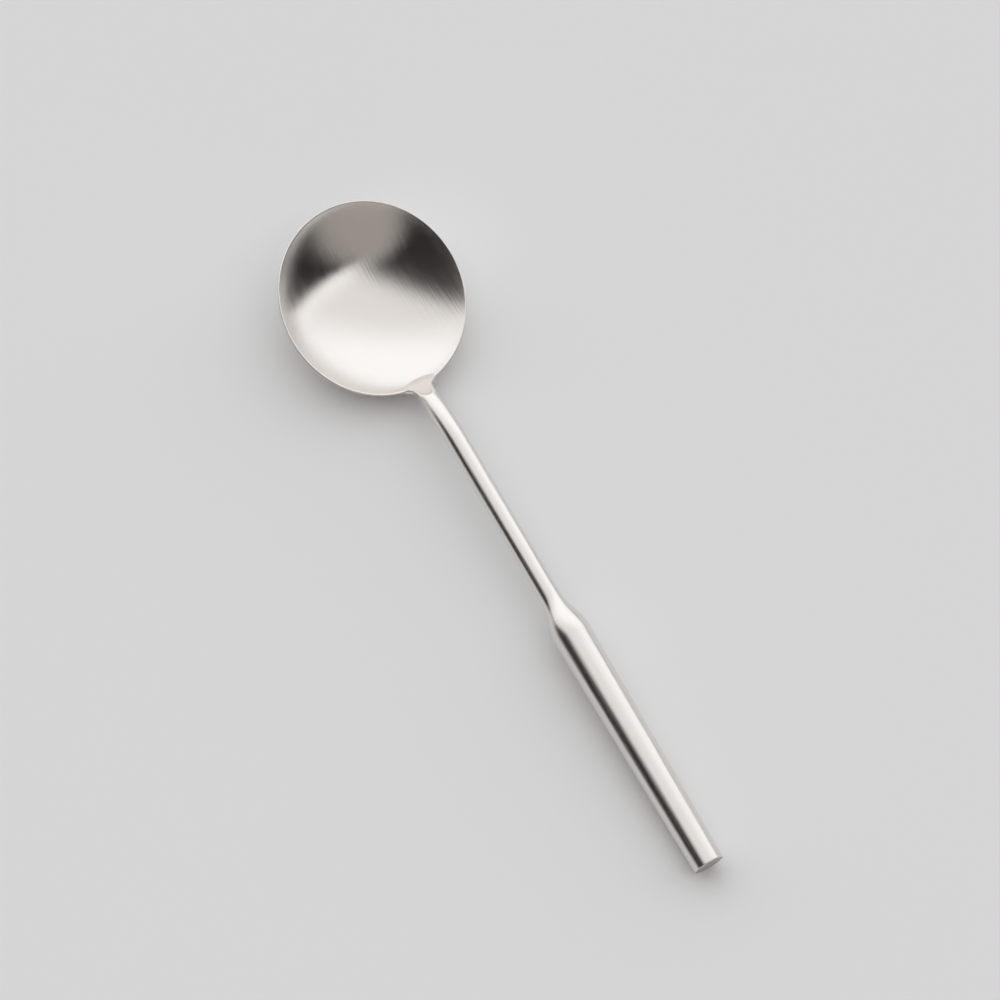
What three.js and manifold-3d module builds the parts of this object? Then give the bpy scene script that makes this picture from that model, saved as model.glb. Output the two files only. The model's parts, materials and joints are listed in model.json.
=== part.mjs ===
// Soup spoon: a pressed, nearly round bowl on a bent stem, a straight round neck and a hollow tapered handle.
// Millimetres. +X points to the bowl's tip, +Y to its left and +Z up. The spoon lies as on a table, resting on
// the bowl's underside and on the lower edge of the handle's end, with the origin under the middle of its box.

import * as THREE from "three";
import { mergeVertices } from "three/addons/utils/BufferGeometryUtils.js";
import Module from "manifold-3d";

const wasm = await Module();
wasm.setup();

// Bowl: the rim's outer length and width, the hollow's depth, the wall at the bottom, the lip's width and the
// height of the rim's edge, which is trimmed square to the rim's plane
const bowlLength = 46.3;
const bowlWidth = 42.5;
const bowlDepth = 9;
const bowlWall = 1.2;
const lipWidth = 0.45;
const rimHeight = 1.2;

// The rim plane's upward pitch towards the tip, against the handle's axis, in degrees
const rimPitch = 11;

// Neck: diameter, length of the straight bar that shows, and the bend down to the bowl
const neckDiameter = 4.9;
const neckLength = 37.4;
const bendRadius = 29;
const bendAngle = 28.5;

// Root of the stem: straight length from the bend to the rim, and the rim's rise above the stem's axis there
const rootLength = 2.6;
const rimRise = 0.3;

// Heel: the stem's run on under the bowl, where its thinning starts behind the rim, and its end's half sizes
const heelLength = 9;
const heelLead = 5;
const heelEndWidth = 1.2;
const heelEndHeight = 0.2;

// Hollow corner between the stem's side and the rim: its radius, its start behind the rim, its run, how
// sharply its outer edge thins (1 keeps the stem's oval), and how far that edge climbs to stay at the rim
const cornerRadius = 3.2;
const cornerLead = 2.5;
const cornerRun = 2.9;
const cornerThinning = 1.7;
const cornerClimb = 1;

// Slanted flat that leads from the stem's top into the bowl: its pitch, and its ridge behind the rim
const flatPitch = 40.5;
const ridgeSetback = 5.5;

// Handle: lengths from the end face, diameters, and the tube's wall
const handleLength = 59.95;
const shoulderLength = 10.5;
const collarLength = 5;
const handleFrontDiameter = 8.85;
const handleEndDiameter = 7.2;
const handleWall = 0.9;

// Shoulder: how far its two ends run on straight before they curve
const shoulderEase = 4.6;

// Joints: tenon in the bowl's stem, tang in the handle's collar, cap in the handle's end
const tenonDiameter = 2.6;
const tenonLength = 4;
const tangLength = 15;
const capThickness = 1.5;
const spigotLength = 4;
const edgeChamfer = 0.15;
const brazeGap = 0.2;

// Fineness of the solids
const bowlSides = 72;
const bowlRings = 9;
const barSides = 32;
const bendSteps = 12;
const rootSteps = 16;
const shoulderSteps = 10;

// Search for the tip at which the spoon lies: the greatest tip, in degrees, and how often it is halved
const greatestTip = 30;
const tipHalvings = 40;

const steelColour = 0xd6cfc8;
const steelRoughness = 0.35;
const degrees = Math.PI / 180;

// Places along the handle's axis, from the end face
const shoulderStart = handleLength;
const collarStart = handleLength + shoulderLength;
const neckStart = collarStart + collarLength;
const bendStart = neckStart + neckLength;

// Lengths along the stem's middle line, from the start of the bend
const neckRadius = neckDiameter / 2;
const bendLength = bendRadius * bendAngle * degrees;
const rimAt = bendLength + rootLength;
const cornerStart = rimAt - cornerLead;
const heelEnd = rimAt + heelLength;

// The stem's middle line: its place, and the direction that points to its top
function stemAt(along) {
  const turn = Math.min(along, bendLength) / bendRadius;
  const straight = Math.max(along - bendLength, 0);
  const forward = new THREE.Vector3(Math.cos(turn), 0, -Math.sin(turn));
  const top = new THREE.Vector3(Math.sin(turn), 0, Math.cos(turn));
  const bend = new THREE.Vector3(Math.sin(turn), 0, Math.cos(turn) - 1).multiplyScalar(bendRadius);
  const place = new THREE.Vector3(bendStart, 0, 0).add(bend).addScaledVector(forward, straight);
  return { place, top };
}

// A closed mesh as a solid that can be joined and cut, and back again
function solid(geometry) {
  const bare = geometry.clone();
  bare.deleteAttribute("normal");
  bare.deleteAttribute("uv");
  const merged = mergeVertices(bare);
  const vertProperties = new Float32Array(merged.getAttribute("position").array);
  const triVerts = new Uint32Array(merged.getIndex().array);
  return new wasm.Manifold(new wasm.Mesh({ numProp: 3, vertProperties, triVerts }));
}

function shape(manifold) {
  const mesh = manifold.getMesh();
  const geometry = new THREE.BufferGeometry();
  geometry.setAttribute("position", new THREE.BufferAttribute(new Float32Array(mesh.vertProperties), 3));
  geometry.setIndex(new THREE.BufferAttribute(new Uint32Array(mesh.triVerts), 1));
  return geometry;
}

// A skin over rings of points, each ring running the same way round, closed by a point at either end
function skin(first, rings, last) {
  const sides = rings[0].length;
  const points = [first, ...rings.flat(), last];
  const end = points.length - 1;
  const index = [];
  const at = (ring, side) => 1 + ring * sides + (side % sides);
  for (let side = 0; side < sides; side++) {
    index.push(0, at(0, side + 1), at(0, side));
    index.push(end, at(rings.length - 1, side), at(rings.length - 1, side + 1));
  }
  for (let ring = 0; ring + 1 < rings.length; ring++) {
    for (let side = 0; side < sides; side++) {
      const near = at(ring, side);
      const nearNext = at(ring, side + 1);
      const far = at(ring + 1, side);
      const farNext = at(ring + 1, side + 1);
      index.push(near, nearNext, farNext);
      index.push(near, farNext, far);
    }
  }
  return new THREE.BufferGeometry().setFromPoints(points).setIndex(index);
}

// A turned piece along the handle's axis, from its half section as [place along the axis, radius] points
function turned(outline) {
  const points = outline.map(([along, radius]) => new THREE.Vector2(radius, along));
  return new THREE.LatheGeometry(points, barSides).rotateZ(-Math.PI / 2);
}

// Depth of a round cap's surface below its rim, where share runs from 0 in the middle to 1 at the rim
function capDepth(share, reach, depth) {
  const ball = (reach * reach + depth * depth) / (2 * depth);
  return Math.sqrt(ball * ball - share * share * reach * reach) - (ball - depth);
}

// One surface of the bowl as rings about the rim's middle, from the middle out
function capRings(halfLength, halfWidth, depth) {
  const reach = (halfLength + halfWidth) / 2;
  const rings = [];
  for (let ring = 1; ring <= bowlRings; ring++) {
    const share = ring / bowlRings;
    const points = [];
    for (let side = 0; side < bowlSides; side++) {
      const angle = (side / bowlSides) * 2 * Math.PI;
      const x = share * halfLength * Math.cos(angle);
      const y = share * halfWidth * Math.sin(angle);
      points.push(new THREE.Vector3(x, y, -capDepth(share, reach, depth)));
    }
    rings.push(points);
  }
  return rings;
}

// The underside, which starts at the lower end of the rim's trimmed edge, and that edge's top
function outerRings() {
  const rings = capRings(bowlLength / 2, bowlWidth / 2, bowlDepth + bowlWall - rimHeight);
  const edgeTop = rings.at(-1).map((point) => point.clone());
  rings.flat().forEach((point) => (point.z -= rimHeight));
  return [...rings, edgeTop];
}

function innerRings() {
  return capRings(bowlLength / 2 - lipWidth, bowlWidth / 2 - lipWidth, bowlDepth);
}

// Moves what is drawn about the rim's middle to the stem, where the rear of the rim sits
function onStem(geometry) {
  const { place, top } = stemAt(rimAt);
  const rear = place.clone().addScaledVector(top, rimRise);
  geometry.translate(bowlLength / 2, 0, 0);
  geometry.rotateY(-rimPitch * degrees);
  return geometry.translate(rear.x, rear.y, rear.z);
}

// The pressed shell
function bowlShell() {
  const bottom = new THREE.Vector3(0, 0, -bowlDepth - bowlWall);
  const floor = new THREE.Vector3(0, 0, -bowlDepth);
  return onStem(skin(bottom, [...outerRings(), ...innerRings().reverse()], floor));
}

// The space in the hollow, carried straight up past the rim, and the space above the rim's plane
function hollow() {
  const rings = innerRings();
  const brim = rings.at(-1).map((point) => new THREE.Vector3(point.x, point.y, bowlDepth));
  const floor = new THREE.Vector3(0, 0, -bowlDepth);
  return onStem(skin(floor, [...rings, brim], new THREE.Vector3(0, 0, bowlDepth)));
}

function aboveRim() {
  const block = new THREE.BoxGeometry(2 * bowlLength, 2 * bowlWidth, bowlLength);
  return onStem(block.translate(0, 0, bowlLength / 2));
}

// Half width of the stem, which opens in a hollow corner towards the rim and narrows along the heel
function stemHalfWidth(along) {
  const run = THREE.MathUtils.clamp(along - cornerStart, 0, cornerRun);
  const width = neckRadius + cornerRadius - Math.sqrt(cornerRadius * cornerRadius - run * run);
  const narrowing = THREE.MathUtils.smoothstep(along, cornerStart + cornerRun, heelEnd);
  return THREE.MathUtils.lerp(width, heelEndWidth, narrowing);
}

// Half height of the stem, which thins out along the heel
function stemHalfHeight(along) {
  const run = THREE.MathUtils.smoothstep(along, rimAt - heelLead, heelEnd);
  return THREE.MathUtils.lerp(neckRadius, heelEndHeight, run);
}

function stemRing(along) {
  const { place, top } = stemAt(along);
  const share = THREE.MathUtils.smoothstep(along, cornerStart, cornerStart + cornerRun);
  const thinning = THREE.MathUtils.lerp(1, cornerThinning, share);
  const rimSlope = Math.tan((bendAngle + rimPitch) * degrees);
  const climb = THREE.MathUtils.clamp((along - rimAt) * rimSlope, 0, cornerClimb);
  const points = [];
  for (let side = 0; side < barSides; side++) {
    const angle = (side / barSides) * 2 * Math.PI;
    const rise = Math.cos(angle);
    const point = place.clone();
    point.addScaledVector(top, stemHalfHeight(along) * Math.sign(rise) * Math.abs(rise) ** thinning);
    point.addScaledVector(top, climb * (1 - Math.abs(rise)));
    point.y -= stemHalfWidth(along) * Math.sin(angle);
    points.push(point);
  }
  return points;
}

// The bent stem from the neck's seam to the end of its heel in the bowl's wall
function bentStem() {
  const stations = [brazeGap];
  for (let step = 1; step <= bendSteps; step++) {
    stations.push((step / bendSteps) * cornerStart);
  }
  for (let step = 1; step <= rootSteps; step++) {
    stations.push(THREE.MathUtils.lerp(cornerStart, heelEnd, step / rootSteps));
  }
  return skin(stemAt(brazeGap).place, stations.map(stemRing), stemAt(heelEnd).place);
}

// Everything above the slanted flat, as a block that stands on it
function aboveFlat() {
  const { place, top } = stemAt(rimAt - ridgeSetback);
  const ridge = place.clone().addScaledVector(top, neckRadius);
  const block = new THREE.BoxGeometry(2 * bowlLength, 2 * bowlWidth, bowlLength);
  block.translate(0, 0, bowlLength / 2);
  block.rotateY(flatPitch * degrees);
  return block.translate(ridge.x, ridge.y, ridge.z);
}

function tenonSocket() {
  const radius = tenonDiameter / 2 + brazeGap;
  const floor = bendStart + tenonLength + 2 * brazeGap;
  const mouth = bendStart - neckRadius;
  return turned([
    [mouth, 0],
    [mouth, radius],
    [floor, radius],
    [floor, 0],
  ]);
}

function bowl() {
  const clear = solid(hollow()).add(solid(aboveRim())).intersect(solid(aboveFlat()));
  const stem = solid(bentStem()).subtract(clear);
  return shape(solid(bowlShell()).add(stem).subtract(solid(tenonSocket())));
}

// The straight bar with its tang behind and its tenon in front
function neckRod() {
  const tangRadius = collarBore() - brazeGap;
  const tenonRadius = tenonDiameter / 2;
  return turned([
    [neckStart - tangLength, 0],
    [neckStart - tangLength, tangRadius],
    [neckStart, tangRadius],
    [neckStart, neckRadius],
    [bendStart, neckRadius],
    [bendStart, tenonRadius],
    [bendStart + tenonLength, tenonRadius],
    [bendStart + tenonLength, 0],
  ]);
}

function collarBore() {
  return neckRadius - handleWall;
}

// The handle's outer radius on its tapered stretch
function handleRadius(along) {
  return THREE.MathUtils.lerp(handleEndDiameter / 2, handleFrontDiameter / 2, along / handleLength);
}

// The shoulder's outline, from the handle's front to the collar
function shoulderOutline() {
  const front = handleFrontDiameter / 2;
  const curve = new THREE.CubicBezierCurve(
    new THREE.Vector2(shoulderStart, front),
    new THREE.Vector2(shoulderStart + shoulderEase, front),
    new THREE.Vector2(collarStart - shoulderEase, neckRadius),
    new THREE.Vector2(collarStart, neckRadius),
  );
  return curve.getPoints(shoulderSteps).map((point) => [point.x, point.y]);
}

// The swaged tube: its wall is the same all along, and it is open at both ends
function handleTube() {
  const rear = capThickness;
  const front = neckStart - brazeGap;
  const outside = [[rear, handleRadius(rear)], ...shoulderOutline(), [front, neckRadius]];
  const inside = outside.map(([along, radius]) => [along, radius - handleWall]).reverse();
  return turned([...outside, ...inside, outside[0]]);
}

// The flat plug, flush with the tube, with its spigot in the tube's end
function endCap() {
  const seat = capThickness - brazeGap;
  const spigotRadius = handleRadius(capThickness) - handleWall - brazeGap;
  return turned([
    [0, 0],
    [0, handleRadius(0) - edgeChamfer],
    [edgeChamfer, handleRadius(edgeChamfer)],
    [seat, handleRadius(seat)],
    [seat, spigotRadius],
    [capThickness + spigotLength, spigotRadius],
    [capThickness + spigotLength, 0],
  ]);
}

function steelPiece(name, geometry) {
  const material = new THREE.MeshStandardMaterial({ color: steelColour, metalness: 1, roughness: steelRoughness });
  const mesh = new THREE.Mesh(geometry, material);
  mesh.name = name;
  return mesh;
}

// The lowest height of a piece once the spoon is tipped about the handle's end
function lowest(mesh, tip) {
  const place = mesh.geometry.getAttribute("position");
  let low = Infinity;
  for (let i = 0; i < place.count; i++) {
    low = Math.min(low, place.getZ(i) * Math.cos(tip) + place.getX(i) * Math.sin(tip));
  }
  return low;
}

// The tip at which bowl and handle end touch the table together, found by halving
function restingTip(front, rear) {
  let low = -greatestTip * degrees;
  let high = greatestTip * degrees;
  for (let step = 0; step < tipHalvings; step++) {
    const middle = (low + high) / 2;
    if (lowest(front, middle) < lowest(rear, middle)) {
      low = middle;
    } else {
      high = middle;
    }
  }
  return (low + high) / 2;
}

const bowlPiece = steelPiece("bowl", bowl());
const capPiece = steelPiece("end_cap", endCap());
const spoon = new THREE.Group();
spoon.add(bowlPiece);
spoon.add(steelPiece("neck_rod", neckRod()));
spoon.add(steelPiece("handle_tube", handleTube()));
spoon.add(capPiece);
spoon.rotation.y = -restingTip(bowlPiece, capPiece);

const laid = new THREE.Group();
laid.add(spoon);
const box = new THREE.Box3().setFromObject(laid, true);
spoon.position.x = -(box.min.x + box.max.x) / 2;
spoon.position.z = -box.min.z;

export default laid;
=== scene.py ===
"""The soup spoon's looks: satin steel, brushed along its length, on a pale table under a broad soft light.

Shapes are drawn in millimetres in the spoon's own axes: x runs along the handle from the middle of its
end face towards the bowl, y to the bowl's left and z up. to_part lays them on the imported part, in metres.
"""

import json
from math import atan2, cos, pi, radians, sin

import bpy
import numpy as np
from mathutils import Matrix, Vector
from mathutils.kdtree import KDTree


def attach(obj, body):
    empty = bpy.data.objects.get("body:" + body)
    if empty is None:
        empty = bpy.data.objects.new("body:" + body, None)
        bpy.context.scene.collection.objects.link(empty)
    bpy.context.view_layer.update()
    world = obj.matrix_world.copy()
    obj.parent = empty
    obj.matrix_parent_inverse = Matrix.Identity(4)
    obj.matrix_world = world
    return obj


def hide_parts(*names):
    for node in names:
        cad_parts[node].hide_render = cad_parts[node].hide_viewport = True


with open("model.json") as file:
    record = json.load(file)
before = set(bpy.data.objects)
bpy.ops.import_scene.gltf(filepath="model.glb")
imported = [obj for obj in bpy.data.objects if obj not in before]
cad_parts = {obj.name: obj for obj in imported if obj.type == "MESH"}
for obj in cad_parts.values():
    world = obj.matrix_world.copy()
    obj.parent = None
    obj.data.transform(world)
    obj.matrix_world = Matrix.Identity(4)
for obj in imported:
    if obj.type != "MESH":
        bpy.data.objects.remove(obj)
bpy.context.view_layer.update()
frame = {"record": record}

millimetre = 0.001

# Bowl: the rim's outer length and width, the hollow's depth, the wall at the bottom, the lip's width, the
# height of the rim's trimmed edge, the roundings of the lip's outer and inner edges, and the rim's pitch
bowl_length = 46.3
bowl_width = 42.5
bowl_depth = 9
bowl_wall = 1.2
lip_width = 0.35
rim_height = 1.2
lip_rounding = 0.22
hollow_rounding = 0.1
rim_pitch = radians(11)

# Neck: radius, straight length, and the bend down to the bowl
neck_radius = 4.9 / 2
neck_length = 37.4
bend_radius = 29
bend_angle = radians(28.5)

# Root of the stem: straight length from the bend to the rim, and the rim's rise above the stem's axis there
root_length = 2.6
rim_rise = 0.3

# Heel: the stem's run on under the bowl, where its thinning starts behind the rim, and its end's half sizes
heel_length = 6
heel_lead = 5
heel_end_width = 1.2
heel_end_height = 0.1

# Hollow corners between the stem's sides and the rim: their radius, how far past the rim's rear they run,
# the share of the round left off at its end, and how far the stem holds its width past the rim
corner_radius = 2.4
corner_past = 0.4
corner_end = 0.08
corner_hold = 1

# The power of the stem's section where it is round, and at the rim above and below its middle line
round_power = 2
full_above = 2.5
full_below = 1.1

# The small hollow along the seam between stem and bowl
seam_rounding = 0.35

# Slanted flat from the stem's top into the bowl: its pitch, its ridge behind the rim, and how soft that is
flat_pitch = radians(41.2)
ridge_setback = 5.5
ridge_softness = 0.3

# Handle: lengths from the end face, radii and the tube's wall
handle_length = 59.95
shoulder_length = 10.5
shoulder_ease = 4.6
collar_length = 5
handle_front_radius = 8.85 / 2
handle_end_radius = 7.2 / 2
handle_wall = 0.9

# Joints: tenon in the stem, tang in the collar, cap and spigot in the handle's end
tenon_radius = 2.6 / 2
tenon_length = 4
tang_length = 15
cap_thickness = 1.5
spigot_length = 4
end_rounding = 0.2
joint_gap = 0.2

# Fineness of the bowl: sides and rings, and how they crowd towards its rear and its rim
rim_sides = 400
rear_crowding = 0.7
hollow_rings = 60
underside_rings = 44
rim_crowding = 0.6
lip_steps = 5

# Fineness of the round pieces: sides and steps, the close ring beside an edge, and a flat face's rings
bar_sides = 128
bar_step = 2.0
bend_step = 1.0
root_step = 0.12
shoulder_steps = 32
edge_hold = 0.1
face_rings = (0, 0.5, 0.95, 1)

# Turned pieces: the distance at which points are merged, and how squarely a face looks back to be an end face
merge_distance = 0.0005
end_facing = -0.99

# Edges sharper than this stay sharp
sharp_angle = radians(32)

# Cutter of the slanted flat: its step, how far it runs past the heel, and its height over the rim
cutter_step = 0.15
cutter_past = 2
cutter_height = 9

# Laying the stem's root on its true surface: how far round the rim's rear, how far from the seam points are
# evened, what counts as a point on the seam, and how often and how strongly points are evened and moved
root_reach = 11
seam_reach = 2.6
seam_distance = 0.001
root_rounds = 100
evening_share = 0.25
surface_steps = 2
longest_move = 0.05

# Measuring the surface: the span of its slope, the least squared slope, and the least share of the section
slope_span = 0.002
least_steepness = 0.25
least_share = 0.001

# Brushed lines: the noise that they are drawn from, its mean, and how much they change the roughness
line_noise = {"Scale": 1, "Detail": 3, "Roughness": 0.6}
noise_mean = 0.5
gloss_variation = 0.1

# Camera, in metres about the part's origin: where it aims, from where, and its lens and sensor in millimetres
camera_elevation = radians(70.1)
camera_azimuth = radians(240.35)
camera_distance = 0.939
camera_aim = Vector((0.00824, -0.0015, 0.00804))
lens_length = 100
sensor_width = 24

# Table: half its side in metres, and its colour
table_reach = 1.5
plaster_colour = (0.95, 0.95, 0.95, 1)

# Colours of the light: the canopy, its border and its back, the dark beyond it, and the camera's side
canopy_white = (0.88, 0.87, 0.865)
border_white = (1.1, 1.1, 1.1)
back_white = (1.16, 1.18, 1.2)
dark_grey = (0.015, 0.014, 0.014)
camera_side_grey = (0.37, 0.35, 0.335)

# Places of the two colours and of the result among a mix node's sockets
mix_inputs = (6, 7)
mix_output = 2

# Places along the handle's axis, and lengths along the stem from the start of its bend
collar_start = handle_length + shoulder_length
neck_start = collar_start + collar_length
bend_start = neck_start + neck_length
bend_run = bend_radius * bend_angle
rim_at = bend_run + root_length
root_start = rim_at - ridge_setback - corner_radius
heel_end = rim_at + heel_length

# The spoon's axes in the part, from the mount on the handle's end face
end_face = frame["record"]["mounts"][0]
handle_axis = -Vector(end_face["axis"]).normalized()
side_axis = Vector((0, 1, 0))
top_axis = handle_axis.cross(side_axis)
spoon_turn = Matrix((handle_axis, side_axis, top_axis)).transposed().to_4x4()
to_part = Matrix.Translation(Vector(end_face["pos_m"])) @ spoon_turn @ Matrix.Scale(millimetre, 4)


# Small sums

def smooth_share(value, low, high):
    share = np.clip((value - low) / (high - low), 0, 1)
    return share * share * (3 - 2 * share)


def mix(low, high, share):
    return low + (high - low) * share


def spaced(start, end, step):
    return np.linspace(start, end, max(2, round((end - start) / step) + 1))


# The stem's middle line, the rim's axes and the slanted flat

def stem_at(along):
    """The place on the stem's middle line at a length from the start of its bend, and the way up there."""
    turn = min(along, bend_run) / bend_radius
    straight = max(along - bend_run, 0)
    place = np.array([bend_start + bend_radius * sin(turn), 0, bend_radius * (cos(turn) - 1)])
    forward = np.array([cos(turn), 0, -sin(turn)])
    top = np.array([sin(turn), 0, cos(turn)])
    return place + straight * forward, top


stem_at_rim, stem_top_at_rim = stem_at(rim_at)
rim_rear = stem_at_rim + rim_rise * stem_top_at_rim
rim_forward = np.array([cos(rim_pitch), 0, sin(rim_pitch)])
rim_side = np.array([0, 1, 0])
rim_up = np.array([-sin(rim_pitch), 0, cos(rim_pitch)])
rim_axes = np.array([rim_forward, rim_side, rim_up])
rim_middle = rim_rear + rim_forward * bowl_length / 2

stem_at_ridge, stem_top_at_ridge = stem_at(rim_at - ridge_setback)
ridge = stem_at_ridge + neck_radius * stem_top_at_ridge
flat_up = np.array([sin(flat_pitch), 0, cos(flat_pitch)])


def about_rim(points):
    """Points as [forward, side, up] from the rim's middle."""
    return (points - rim_middle) @ rim_axes.T


def placed_from_rim(spots):
    """The points that lie [forward, side, up] from the rim's middle."""
    return rim_middle + spots @ rim_axes


# A skin over rings of points, closed by a point at either end

def skin(first, rings, last):
    sides = len(rings[0])
    points = np.vstack([[first], *rings, [last]])
    end = len(points) - 1
    tail = end - sides
    faces = []
    for side in range(sides):
        after = (side + 1) % sides
        faces.append((0, 1 + side, 1 + after))
        faces.append((end, tail + after, tail + side))
    for ring in range(len(rings) - 1):
        near = 1 + ring * sides
        far = near + sides
        for side in range(sides):
            after = (side + 1) % sides
            faces.append((near + side, far + side, far + after, near + after))
    return points, faces


# The bowl's shell, drawn about the rim's middle

inner_half = np.array([bowl_length / 2 - lip_width, bowl_width / 2 - lip_width])
inner_reach = inner_half.mean()
outer_half = np.array([bowl_length / 2, bowl_width / 2])
outer_reach = outer_half.mean()
outer_depth = bowl_depth + bowl_wall - rim_height


def ball_radius(reach, depth):
    """The radius of the ball that a cap of that reach and depth belongs to."""
    return (reach * reach + depth * depth) / (2 * depth)


def cap_depth(share, reach, depth):
    """A cap's depth at a share of the way from its middle to its rim."""
    ball = ball_radius(reach, depth)
    return np.sqrt(ball * ball - (share * reach) ** 2) - (ball - depth)


def cap_slope(reach, depth):
    """The angle at which a cap meets its rim's plane."""
    return 2 * atan2(depth, reach)


def rounded_edge(first_normal, second_normal, radius, steps):
    """Points over the rounded edge between two faces, from the first to the second, about the sharp edge."""
    turn = np.linspace(0, pi / 2, steps + 1)
    depths = radius * (np.stack([np.cos(turn), np.sin(turn)]) - 1)
    return np.linalg.solve(np.array([first_normal, second_normal]), depths).T


def lip_profile():
    """The lip's section as [outward from the inner edge, height] points, from the hollow to the outside."""
    inner_angle = cap_slope(inner_reach, bowl_depth)
    hollow_normal = (-sin(inner_angle), cos(inner_angle))
    top_normal = (0, 1)
    side_normal = (1, 0)
    outer_angle = cap_slope(outer_reach, outer_depth)
    under_normal = (sin(outer_angle), -cos(outer_angle))
    inner = rounded_edge(hollow_normal, top_normal, hollow_rounding, lip_steps)
    outer = rounded_edge(top_normal, side_normal, lip_rounding, lip_steps) + [lip_width, 0]
    under = rounded_edge(side_normal, under_normal, lip_rounding, lip_steps) + [lip_width, -rim_height]
    edge = np.linspace(outer[-1], under[0], lip_steps + 1)[1:-1]
    return np.vstack([inner, outer, edge, under])


def crowded(count):
    """Shares from the middle to the rim, both left out, that lie closer together near the rim."""
    even = np.linspace(0, 1, count + 1)[1:-1]
    return even + rim_crowding * np.sin(pi * even) / pi


def level_ring(outline, height):
    return np.column_stack([outline, np.full(len(outline), height)])


def bowl_shell():
    turn = np.arange(rim_sides) * 2 * pi / rim_sides
    angle = turn + rear_crowding * np.sin(turn)
    round_rim = np.stack([np.cos(angle), np.sin(angle)], axis=1)
    lip = lip_profile()
    inner_limit = 1 + lip[0][0] / inner_reach
    outer_limit = 1 + (lip[-1][0] - lip_width) / outer_reach
    rings = []
    for share in crowded(hollow_rings) * inner_limit:
        depth = cap_depth(share, inner_reach, bowl_depth)
        rings.append(level_ring(round_rim * inner_half * share, -depth))
    for outward, height in lip:
        rings.append(level_ring(round_rim * (inner_half + outward), height))
    for share in crowded(underside_rings)[::-1] * outer_limit:
        depth = rim_height + cap_depth(share, outer_reach, outer_depth)
        rings.append(level_ring(round_rim * outer_half * share, -depth))
    spots, faces = skin([0, 0, -bowl_depth], rings, [0, 0, -bowl_depth - bowl_wall])
    return placed_from_rim(spots), faces, spots[:, [1, 0]]


# The bent stem, with its slanted flat and its heel in the bowl's wall

def stem_half_width(along):
    """The stem widens over a quarter round into the rim, and narrows along the heel."""
    to_rim = 1 - np.clip((rim_at + corner_past - along) / corner_radius, corner_end, 1)
    flared = neck_radius + corner_radius * (1 - np.sqrt(1 - to_rim * to_rim))
    return mix(flared, heel_end_width, smooth_share(along, rim_at + corner_hold, heel_end))


def stem_drop(along):
    """How far the stem's underside lies below its middle line."""
    return mix(neck_radius, heel_end_height, smooth_share(along, rim_at - heel_lead, heel_end))


def stem_fullness(along, above):
    """The power of the stem's section: higher where it is squarer than round, lower where it is sharper."""
    full = np.where(above, full_above, full_below)
    return mix(round_power, full, smooth_share(along, rim_at - corner_radius, rim_at))


def stem_ring(along):
    place, top = stem_at(along)
    angle = np.arange(bar_sides) * 2 * pi / bar_sides
    up, out = np.cos(angle), np.sin(angle)
    power = 2 / stem_fullness(along, up > 0)
    height = np.where(up > 0, neck_radius, stem_drop(along)) * np.sign(up) * np.abs(up) ** power
    ring = place + height[:, None] * top
    ring[:, 1] = stem_half_width(along) * np.sign(out) * np.abs(out) ** power
    return ring


def bent_stem():
    bend = spaced(0, root_start, bend_step)
    root = spaced(root_start, heel_end, root_step)
    stations = np.concatenate([bend, root[1:]])
    rings = [stem_ring(along) for along in stations]
    points, faces = skin(stem_at(0)[0], rings, rings[-1].mean(axis=0))
    around = (np.arange(bar_sides) * 2 * pi / bar_sides + pi) % (2 * pi) - pi
    across = np.concatenate([[0], np.tile(around * neck_radius, len(stations)), [0]])
    along = bend_start + np.concatenate([[0], np.repeat(stations, bar_sides), [heel_end]])
    return points, faces, np.column_stack([across, along])


def flat_cutter():
    """What is ground off the stem: all above the slanted flat, but not past the middle of the bowl's wall."""
    half_width = neck_radius + corner_radius
    across = spaced(-half_width, half_width, cutter_step)[::-1]
    from_ridge = (rim_middle - ridge) @ flat_up
    ridge_spot = (ridge - rim_middle) @ rim_forward
    cutter_end = heel_length + cutter_past - bowl_length / 2
    rings = []
    for ahead in spaced(ridge_spot - corner_radius, cutter_end, cutter_step):
        flat = np.full(len(across), -(from_ridge + ahead * (rim_forward @ flat_up)) / (rim_up @ flat_up))
        share = np.hypot(ahead / inner_half[0], across / inner_half[1])
        inside = np.minimum(share, 1)
        floor = cap_depth(inside, inner_reach, bowl_depth)
        underside = rim_height + cap_depth(inside, outer_reach, outer_depth)
        bottom = np.where(share < 1, np.maximum(flat, -(floor + underside) / 2), flat)
        row = np.column_stack([np.full(len(across), ahead), across, bottom])
        top = [[ahead, -half_width, cutter_height], [ahead, half_width, cutter_height]]
        rings.append(np.vstack([top, row]))
    spots, faces = skin(rings[0].mean(axis=0), rings, rings[-1].mean(axis=0))
    return placed_from_rim(spots), faces, spots[:, [1, 0]]


# The bowl and its stem as one body: how far points lie outside it, below zero where they are inside

def rounded_join(first, second, radius):
    """Two bodies as one, with a hollow corner of that radius between them."""
    near = np.hypot(np.maximum(radius - first, 0), np.maximum(radius - second, 0))
    return np.maximum(radius, np.minimum(first, second)) - near


def rounded_overlap(first, second, radius):
    """What two bodies share, with its edge rounded to that radius."""
    near = np.hypot(np.maximum(radius + first, 0), np.maximum(radius + second, 0))
    return np.minimum(-radius, np.maximum(first, second)) + near


def outside_cap(spots, half, depth):
    """Measured from the ball that a cap belongs to, for points about the rim's middle."""
    reach = half.mean()
    ball = ball_radius(reach, depth)
    stretch = np.array([reach / half[0], reach / half[1], 1])
    return np.linalg.norm(spots * stretch - [0, 0, ball - depth], axis=1) - ball


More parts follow.
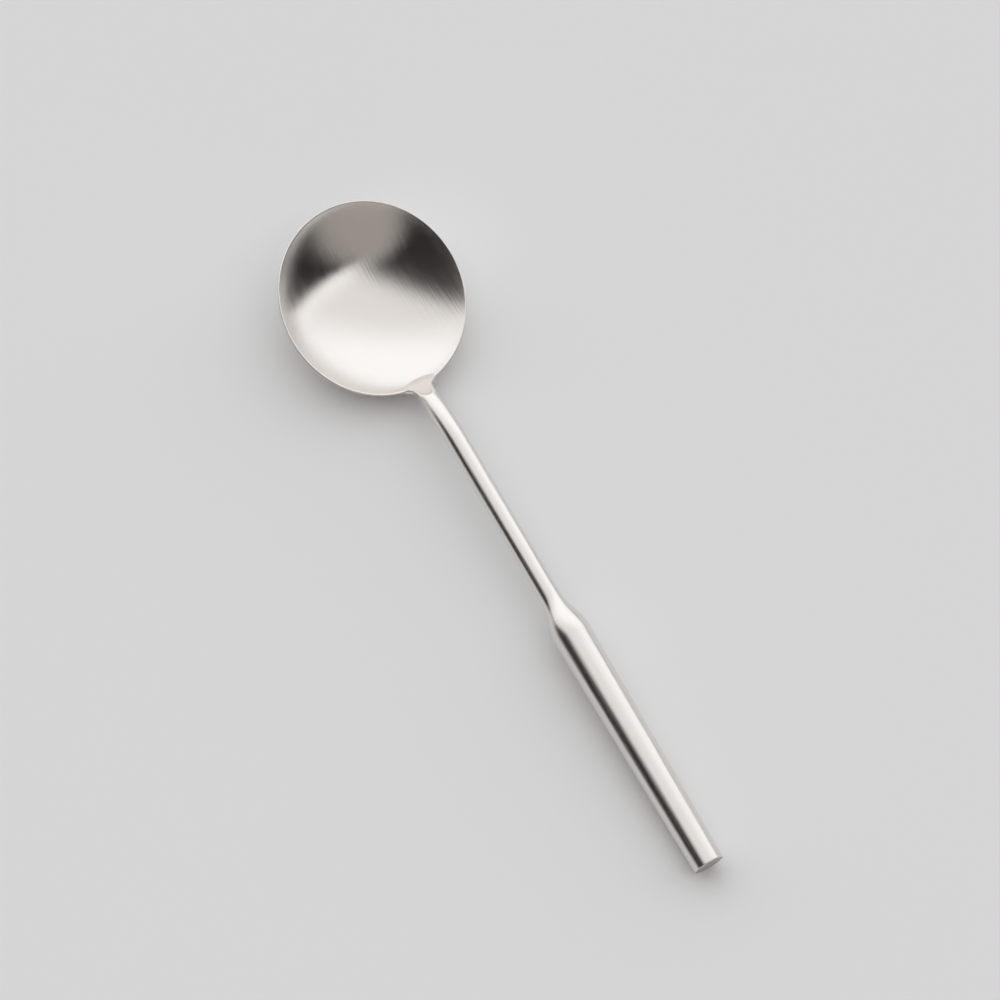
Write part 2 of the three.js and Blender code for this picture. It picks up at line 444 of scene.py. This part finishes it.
def outside_shell(points):
    spots = about_rim(points)
    share = np.linalg.norm(spots[:, :2] / outer_half, axis=1)
    side = (share - 1) * share / np.linalg.norm(spots[:, :2] / outer_half ** 2, axis=1)
    rim = rounded_overlap(side, spots[:, 2], lip_rounding)
    underside = outside_cap(spots + [0, 0, rim_height], outer_half, outer_depth)
    lump = rounded_overlap(rim, underside, lip_rounding)
    return rounded_overlap(lump, -outside_cap(spots, inner_half, bowl_depth), hollow_rounding)


def along_stem(points):
    """Points as [length along the stem from the start of its bend, height over its middle line]."""
    x, _, z = (points - [bend_start, 0, -bend_radius]).T
    turn = np.arctan2(x, z)
    bent = turn < bend_angle
    along = np.where(bent, bend_radius * turn, bend_run + x * cos(bend_angle) - z * sin(bend_angle))
    height = np.where(bent, np.hypot(x, z), x * sin(bend_angle) + z * cos(bend_angle)) - bend_radius
    return along, height


def outside_stem(points):
    along, height = along_stem(points)
    wide = stem_half_width(along)
    high = np.where(height > 0, neck_radius, stem_drop(along))
    power = stem_fullness(along, height > 0)
    out, up = np.abs(points[:, 1]) / wide, np.abs(height) / high
    share = np.maximum((out ** power + up ** power) ** (1 / power), least_share)
    slope = np.hypot((out / share) ** (power - 1) / wide, (up / share) ** (power - 1) / high)
    return np.maximum((share - 1) / slope, along - heel_end)


def outside_body(points):
    """The stem goes into the shell over a small hollow, and the slanted flat trims all but the shell."""
    shell = outside_shell(points)
    joined = rounded_join(shell, outside_stem(points), seam_rounding)
    trimmed = rounded_overlap(joined, (points - ridge) @ flat_up, ridge_softness)
    return np.minimum(shell, trimmed)


def settled(spots):
    """The points moved along the slope of the body's surface until they lie on it."""
    steps = slope_span / 2 * np.eye(3)
    for _ in range(surface_steps):
        rises = [outside_body(spots + step) - outside_body(spots - step) for step in steps]
        slope = np.stack(rises, axis=1) / slope_span
        move = np.clip(outside_body(spots), -longest_move, longest_move)
        steepness = np.maximum((slope * slope).sum(axis=1), least_steepness)
        spots = spots - (move / steepness)[:, None] * slope
    return spots


# Turned pieces: half outlines as [place along the handle's axis, radius] points

def straight_run(start, end):
    """Points between two ends, near each of which a close ring keeps the shading true."""
    (start_x, start_r), (end_x, end_r) = start, end
    length = abs(end_x - start_x)
    hold = edge_hold / length
    shares = np.concatenate([[0, hold], spaced(0, 1, bar_step / length)[1:-1], [1 - hold, 1]])
    return [(mix(start_x, end_x, share), mix(start_r, end_r, share)) for share in shares]


def flat_face(edge):
    """A flat face from the axis out to its edge, with a close ring inside the edge."""
    along, radius = edge
    return [(along, share * radius) for share in face_rings]


def handle_radius(along):
    return mix(handle_end_radius, handle_front_radius, along / handle_length)


def shoulder_outline():
    """A smooth curve from the handle's front in to the collar, which leaves both of them straight."""
    corners = (
        (handle_length, handle_front_radius),
        (handle_length + shoulder_ease, handle_front_radius),
        (collar_start - shoulder_ease, neck_radius),
        (collar_start, neck_radius),
    )
    points = []
    for step in range(shoulder_steps + 1):
        done = step / shoulder_steps
        left = 1 - done
        weights = (left ** 3, 3 * done * left ** 2, 3 * done * done * left, done ** 3)
        point = [sum(weight * corner[axis] for weight, corner in zip(weights, corners)) for axis in (0, 1)]
        points.append(tuple(point))
    return points


def handle_outline():
    rear = (cap_thickness, handle_radius(cap_thickness))
    shoulder = shoulder_outline()
    front = (neck_start, neck_radius)
    outside = straight_run(rear, shoulder[0]) + shoulder[1:] + straight_run(shoulder[-1], front)[1:]
    inside = [(along, radius - handle_wall) for along, radius in reversed(outside)]
    return outside + inside + outside[:1]


def neck_outline():
    tang_radius = neck_radius - handle_wall - joint_gap
    tang_end = neck_start - tang_length
    tenon_end = bend_start + tenon_length
    tang = [(tang_end, 0), (tang_end, tang_radius), (neck_start, tang_radius)]
    bar = straight_run((neck_start, neck_radius), (bend_start, neck_radius))
    return tang + bar + [(bend_start, tenon_radius), (tenon_end, tenon_radius), (tenon_end, 0)]


def cap_outline():
    spigot_radius = handle_radius(cap_thickness) - handle_wall - joint_gap
    spigot_end = cap_thickness + spigot_length
    corner = rounded_edge((-1, 0), (0, 1), end_rounding, 2 * lip_steps) + [0, handle_radius(0)]
    side = straight_run(tuple(corner[-1]), (cap_thickness, handle_radius(cap_thickness)))
    spigot = [(cap_thickness, spigot_radius), (spigot_end, spigot_radius), (spigot_end, 0)]
    return flat_face(corner[0]) + [tuple(point) for point in corner[1:-1]] + side + spigot


def socket_outline():
    mouth = bend_start - neck_radius
    floor = bend_start + tenon_length + joint_gap
    radius = tenon_radius + joint_gap
    return [(mouth, 0), (mouth, radius), (floor, radius), (floor, 0)]


# Small steps in node trees

def new_sockets(tree, direction, kinds):
    for name, kind in kinds.items():
        tree.interface.new_socket(name, in_out=direction, socket_type="NodeSocket" + kind)


def sum_of(tree, operation, *terms):
    """The output of a math node whose terms are numbers or other nodes' outputs."""
    node = tree.nodes.new("ShaderNodeMath")
    node.operation = operation
    for socket, term in zip(node.inputs, terms):
        if isinstance(term, (int, float)):
            socket.default_value = term
        else:
            tree.links.new(term, socket)
    return node.outputs[0]


# Steel: fine brushed lines that follow the piece's line map, as a group that each finish uses

def brushed_lines_group():
    group = bpy.data.node_groups.new("Brushed lines", "ShaderNodeTree")
    new_sockets(group, "INPUT", {"Map": "Vector", "Line width": "Float", "Line length": "Float"})
    new_sockets(group, "OUTPUT", {"Lines": "Float"})
    nodes, links = group.nodes, group.links
    given = nodes.new("NodeGroupInput")
    result = nodes.new("NodeGroupOutput")
    parts = nodes.new("ShaderNodeSeparateXYZ")
    links.new(given.outputs["Map"], parts.inputs[0])
    place = nodes.new("ShaderNodeCombineXYZ")
    for axis, size in (("X", "Line width"), ("Y", "Line length")):
        links.new(sum_of(group, "DIVIDE", parts.outputs[axis], given.outputs[size]), place.inputs[axis])
    noise = nodes.new("ShaderNodeTexNoise")
    noise.noise_dimensions = "2D"
    for name, value in line_noise.items():
        noise.inputs[name].default_value = value
    links.new(place.outputs[0], noise.inputs["Vector"])
    links.new(sum_of(group, "SUBTRACT", noise.outputs["Fac"], noise_mean), result.inputs["Lines"])
    return group


def steel_finish(name, colour, roughness, stretch, line_width, line_length, bump):
    """Satin steel whose highlights spread across its brushed lines."""
    finish = bpy.data.materials.new(name)
    finish.use_nodes = True
    tree = finish.node_tree
    nodes, links = tree.nodes, tree.links
    steel = nodes["Principled BSDF"]
    steel.inputs["Base Color"].default_value = (*colour, 1)
    steel.inputs["Metallic"].default_value = 1
    steel.inputs["Anisotropic"].default_value = stretch
    line_map = nodes.new("ShaderNodeUVMap")
    line_map.uv_map = "brush"
    lines = nodes.new("ShaderNodeGroup")
    lines.node_tree = brushed_lines
    lines.inputs["Line width"].default_value = line_width
    lines.inputs["Line length"].default_value = line_length
    links.new(line_map.outputs["UV"], lines.inputs["Map"])
    gloss = sum_of(tree, "MULTIPLY_ADD", lines.outputs["Lines"], gloss_variation, roughness)
    links.new(gloss, steel.inputs["Roughness"])
    relief = nodes.new("ShaderNodeBump")
    relief.inputs["Strength"].default_value = 1
    relief.inputs["Distance"].default_value = bump
    links.new(lines.outputs["Lines"], relief.inputs["Height"])
    links.new(relief.outputs["Normal"], steel.inputs["Normal"])
    surface = nodes.new("ShaderNodeNewGeometry")
    across = nodes.new("ShaderNodeVectorMath")
    across.operation = "CROSS_PRODUCT"
    across.inputs[0].default_value = handle_axis
    links.new(surface.outputs["Normal"], across.inputs[1])
    links.new(across.outputs["Vector"], steel.inputs["Tangent"])
    return finish


# Meshes from points, and the lathe that turns half outlines

def in_scene(name, data):
    thing = bpy.data.objects.new(name, data)
    bpy.context.scene.collection.objects.link(thing)
    return thing


def line_map_on(mesh, lines):
    layer = mesh.uv_layers.new(name="brush")
    corners = np.zeros(len(mesh.loops), dtype=np.int32)
    mesh.loops.foreach_get("vertex_index", corners)
    layer.data.foreach_set("uv", (lines[corners] * millimetre).astype(np.float32).ravel())


def piece_from(name, points, faces, lines):
    mesh = bpy.data.meshes.new(name)
    mesh.from_pydata([tuple(point) for point in points], [], faces)
    line_map_on(mesh, lines)
    return in_scene(name, mesh)


def lathe():
    """A node tree that turns a row of outline points about the x axis into a closed, mapped piece."""
    tree = bpy.data.node_groups.new("Lathe", "GeometryNodeTree")
    new_sockets(tree, "INPUT", {"Outline": "Geometry", "Sides": "Int", "Line radius": "Float"})
    new_sockets(tree, "INPUT", {"Finish": "Material", "End steel, painted darker": "Material"})
    new_sockets(tree, "OUTPUT", {"Piece": "Geometry"})
    nodes, links = tree.nodes, tree.links
    given = nodes.new("NodeGroupInput")
    result = nodes.new("NodeGroupOutput")

    # A flat sheet, one unit square about its middle, with a column for each outline point
    count = nodes.new("GeometryNodeAttributeDomainSize")
    links.new(given.outputs["Outline"], count.inputs["Geometry"])
    sheet = nodes.new("GeometryNodeMeshGrid")
    sheet.inputs["Size X"].default_value = 1
    sheet.inputs["Size Y"].default_value = 1
    links.new(count.outputs["Point Count"], sheet.inputs["Vertices X"])
    links.new(sum_of(tree, "ADD", given.outputs["Sides"], 1), sheet.inputs["Vertices Y"])

    # Each point's column and its turn about the axis
    half_sheet = 0.5
    spot = nodes.new("GeometryNodeInputPosition")
    parts = nodes.new("ShaderNodeSeparateXYZ")
    links.new(spot.outputs[0], parts.inputs[0])
    last = sum_of(tree, "SUBTRACT", count.outputs["Point Count"], 1)
    from_edge = sum_of(tree, "ADD", parts.outputs["X"], half_sheet)
    column = sum_of(tree, "ROUND", sum_of(tree, "MULTIPLY", from_edge, last))
    turn = sum_of(tree, "MULTIPLY", parts.outputs["Y"], 2 * pi)

    # The outline point of that column
    position = nodes.new("GeometryNodeInputPosition")
    outline = nodes.new("GeometryNodeSampleIndex")
    outline.data_type = "FLOAT_VECTOR"
    links.new(given.outputs["Outline"], outline.inputs["Geometry"])
    links.new(position.outputs[0], outline.inputs["Value"])
    links.new(column, outline.inputs["Index"])
    drawn = nodes.new("ShaderNodeSeparateXYZ")
    links.new(outline.outputs["Value"], drawn.inputs[0])

    # Its place when it is turned, and its place on the line map in metres
    turned = nodes.new("ShaderNodeCombineXYZ")
    links.new(drawn.outputs["X"], turned.inputs["X"])
    for axis, wave in (("Y", "SINE"), ("Z", "COSINE")):
        links.new(sum_of(tree, "MULTIPLY", drawn.outputs["Y"], sum_of(tree, wave, turn)), turned.inputs[axis])
    line_map = nodes.new("ShaderNodeCombineXYZ")
    line_radius = sum_of(tree, "MULTIPLY", given.outputs["Line radius"], millimetre)
    links.new(sum_of(tree, "MULTIPLY", turn, line_radius), line_map.inputs["X"])
    links.new(sum_of(tree, "MULTIPLY", drawn.outputs["X"], millimetre), line_map.inputs["Y"])

    # The sheet mapped, rolled up, closed and finished
    mapped = nodes.new("GeometryNodeStoreNamedAttribute")
    mapped.data_type = "FLOAT2"
    mapped.domain = "CORNER"
    mapped.inputs["Name"].default_value = "brush"
    links.new(sheet.outputs["Mesh"], mapped.inputs["Geometry"])
    links.new(line_map.outputs[0], mapped.inputs["Value"])
    placed = nodes.new("GeometryNodeSetPosition")
    links.new(mapped.outputs[0], placed.inputs["Geometry"])
    links.new(turned.outputs[0], placed.inputs["Position"])
    closed = nodes.new("GeometryNodeMergeByDistance")
    closed.inputs["Distance"].default_value = merge_distance
    links.new(placed.outputs[0], closed.inputs["Geometry"])
    whole = nodes.new("GeometryNodeRealizeInstances")
    links.new(closed.outputs[0], whole.inputs[0])
    finish = nodes.new("GeometryNodeSetMaterial")
    links.new(whole.outputs[0], finish.inputs["Geometry"])
    links.new(given.outputs["Finish"], finish.inputs["Material"])

    # The faces that look back along the handle get the end's steel, whose darker colour is painted shade
    facing = nodes.new("GeometryNodeInputNormal")
    facing_parts = nodes.new("ShaderNodeSeparateXYZ")
    links.new(facing.outputs[0], facing_parts.inputs[0])
    end = nodes.new("GeometryNodeSetMaterial")
    links.new(finish.outputs[0], end.inputs["Geometry"])
    links.new(sum_of(tree, "LESS_THAN", facing_parts.outputs["X"], end_facing), end.inputs["Selection"])
    links.new(given.outputs["End steel, painted darker"], end.inputs["Material"])
    links.new(end.outputs[0], result.inputs["Piece"])
    return tree


def plain_mesh(piece, name):
    """The piece as its modifiers make it, as a plain mesh with no modifier left."""
    bpy.context.view_layer.update()
    mesh = bpy.data.meshes.new_from_object(piece.evaluated_get(bpy.context.evaluated_depsgraph_get()))
    mesh.name = name
    piece.modifiers.clear()
    piece.data = mesh


def turned_piece(name, outline):
    points = bpy.data.meshes.new(name)
    points.from_pydata([(along, radius, 0) for along, radius in outline], [], [])
    piece = in_scene(name, points)
    turning = piece.modifiers.new("lathe", "NODES")
    turning.node_group = lathe_tree
    values = {
        "Sides": bar_sides,
        "Line radius": neck_radius,
        "Finish": brushed_steel,
        "End steel, painted darker": end_steel_painted_darker,
    }
    for item in lathe_tree.interface.items_tree:
        if item.name in values:
            turning[item.identifier] = values[item.name]
    plain_mesh(piece, name)
    return piece


# The bowl joined with its stem

def tree_of(places):
    tree = KDTree(len(places))
    for index, place in enumerate(places):
        tree.insert(place, index)
    tree.balance()
    return tree


def gap_to(tree, place):
    """How far a place lies from the nearest place in the tree."""
    _, _, gap = tree.find(place)
    return gap


def near_seam(mesh, drawn):
    """How near each point is to the points that only the joining made, from 1 on the seam to 0."""
    seam = tree_of([vertex.co for vertex in mesh.vertices if gap_to(drawn, vertex.co) > seam_distance])
    gaps = np.array([gap_to(seam, vertex.co) for vertex in mesh.vertices])
    return 1 - smooth_share(gaps, 0, seam_reach)


def lay_on_body(mesh, evening):
    """Lays the mesh round the stem's root on the body's surface, and spreads its points near the seam."""
    points = np.empty(3 * len(mesh.vertices), dtype=np.float32)
    mesh.vertices.foreach_get("co", points)
    points = points.reshape(-1, 3).astype(float)
    edges = np.empty(2 * len(mesh.edges), dtype=np.int32)
    mesh.edges.foreach_get("vertices", edges)
    first, second = edges.reshape(-1, 2).T
    count = np.bincount(edges, minlength=len(points))[:, None]
    near = np.linalg.norm(points - stem_at_rim, axis=1) < root_reach
    for _ in range(root_rounds):
        middle = np.zeros_like(points)
        np.add.at(middle, first, points[second])
        np.add.at(middle, second, points[first])
        evened = points + evening_share * evening[:, None] * (middle / count - points)
        points[near] = settled(evened[near])
    mesh.vertices.foreach_set("co", points.astype(np.float32).ravel())
    mesh.update()


def cut_with(piece, tool, operation):
    cut = piece.modifiers.new(tool.name, "BOOLEAN")
    cut.object = tool
    cut.operation = operation
    cut.solver = "MANIFOLD"
    plain_mesh(piece, piece.name)
    bpy.data.objects.remove(tool)


def joined_bowl():
    """The shell and the stem as one closed piece, with the blind socket for the neck's tenon."""
    bowl = piece_from("spoon_bowl", *bowl_shell())
    stem = piece_from("stem", *bent_stem())
    cut_with(stem, piece_from("flat_cutter", *flat_cutter()), "DIFFERENCE")
    drawn = tree_of([vertex.co for part in (bowl, stem) for vertex in part.data.vertices])
    cut_with(bowl, stem, "UNION")
    lay_on_body(bowl.data, near_seam(bowl.data, drawn))
    cut_with(bowl, turned_piece("socket", socket_outline()), "DIFFERENCE")
    bowl.data.materials.clear()
    bowl.data.materials.append(brushed_steel)
    return bowl


def finished(piece, node):
    """Smooths the piece up to its sharp edges, lays it on the part and has it stand for its node."""
    piece.data.shade_smooth()
    piece.data.set_sharp_from_angle(angle=sharp_angle)
    piece.data.transform(to_part)
    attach(piece, "root")
    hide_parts(node)


# Table, light and camera

def table():
    mesh = bpy.data.meshes.new("table")
    low, high = -table_reach, table_reach
    mesh.from_pydata([(low, low, 0), (high, low, 0), (high, high, 0), (low, high, 0)], [], [(0, 1, 2, 3)])
    top = in_scene("table", mesh)
    plaster = bpy.data.materials.new("pale_plaster")
    plaster.use_nodes = True
    surface = plaster.node_tree.nodes["Principled BSDF"]
    surface.inputs["Base Color"].default_value = plaster_colour
    surface.inputs["Roughness"].default_value = 0.9
    surface.inputs["Specular IOR Level"].default_value = 0.1
    mesh.materials.append(plaster)


# The way to the camera, and the level ways to the top and to the right of its picture
straight_up = Vector((0, 0, 1))
to_camera = Vector((
    sin(camera_azimuth) * cos(camera_elevation),
    -cos(camera_azimuth) * cos(camera_elevation),
    sin(camera_elevation),
))
picture_top = Vector((-to_camera.x, -to_camera.y, 0)).normalized()
picture_right = picture_top.cross(straight_up)


def seen_from_table(right, top, up):
    return (picture_right * right + picture_top * top + straight_up * up).normalized()


def studio():
    """A white canopy overhead with two straight edges, dark at the horizon and beyond it, and a dim grey
    side behind the camera."""
    world = bpy.data.worlds.new("studio")
    bpy.context.scene.world = world
    world.use_nodes = True
    tree = world.node_tree
    nodes, links = tree.nodes, tree.links
    looking = nodes.new("ShaderNodeTexCoord")

    def beyond_edge(facing, soft_from, soft_to):
        side = nodes.new("ShaderNodeVectorMath")
        side.operation = "DOT_PRODUCT"
        side.inputs[1].default_value = facing
        links.new(looking.outputs["Generated"], side.inputs[0])
        fade = nodes.new("ShaderNodeMapRange")
        fade.interpolation_type = "SMOOTHSTEP"
        fade.inputs["From Min"].default_value = soft_from
        fade.inputs["From Max"].default_value = soft_to
        links.new(side.outputs["Value"], fade.inputs["Value"])
        return fade.outputs[0]

    def painted(share, under, over):
        blend = nodes.new("ShaderNodeMix")
        blend.data_type = "RGBA"
        links.new(share, blend.inputs[0])
        for place, colour in zip(mix_inputs, (under, over)):
            if isinstance(colour, tuple):
                blend.inputs[place].default_value = (*colour, 1)
            else:
                links.new(colour, blend.inputs[place])
        return blend.outputs[mix_output]

    near_edge = beyond_edge(seen_from_table(right=0.36, top=1, up=0.31), soft_from=-0.24, soft_to=0)
    right_edge_facing = seen_from_table(right=-0.48, top=0.92, up=0.87)
    right_edge = beyond_edge(right_edge_facing, soft_from=-0.02, soft_to=0.02)
    border = beyond_edge(right_edge_facing, soft_from=0.3, soft_to=0)
    back = beyond_edge(seen_from_table(right=0, top=1, up=0), soft_from=0.1, soft_to=0.7)
    camera_side = beyond_edge(seen_from_table(right=0.31, top=-1, up=0.34), soft_from=0.71, soft_to=0.89)
    over_horizon = beyond_edge(straight_up, soft_from=0.06, soft_to=0.14)
    canopy = painted(back, painted(border, canopy_white, border_white), back_white)
    dark = painted(camera_side, dark_grey, camera_side_grey)
    lit = sum_of(tree, "MULTIPLY", sum_of(tree, "MULTIPLY", near_edge, right_edge), over_horizon)
    links.new(painted(lit, dark, canopy), nodes["Background"].inputs["Color"])


def camera():
    lens = bpy.data.cameras.new("camera")
    lens.sensor_width = sensor_width
    lens.lens = lens_length
    view = in_scene("camera", lens)
    view.location = camera_aim + camera_distance * to_camera
    view.rotation_euler = (-to_camera).to_track_quat("-Z", "Y").to_euler()
    bpy.context.scene.camera = view


bpy.context.scene.view_settings.view_transform = "Standard"
camera()
studio()
table()

brushed_lines = brushed_lines_group()
brushed_steel = steel_finish(
    "brushed_steel", (0.84, 0.805, 0.775), roughness=0.17, stretch=0.96,
    line_width=0.0003, line_length=0.018, bump=0.000023,
)
# The end face's steel: rougher, and its colour painted darker as the shade of the floor's shadow that it
# mirrors
end_steel_painted_darker = steel_finish(
    "end_steel_painted_darker", (0.5, 0.47, 0.45), roughness=0.45, stretch=0.3,
    line_width=0.0003, line_length=0.004, bump=0.00002,
)
lathe_tree = lathe()

finished(joined_bowl(), "bowl")
finished(turned_piece("spoon_neck", neck_outline()), "neck_rod")
finished(turned_piece("spoon_handle", handle_outline()), "handle_tube")
finished(turned_piece("spoon_end_cap", cap_outline()), "end_cap")
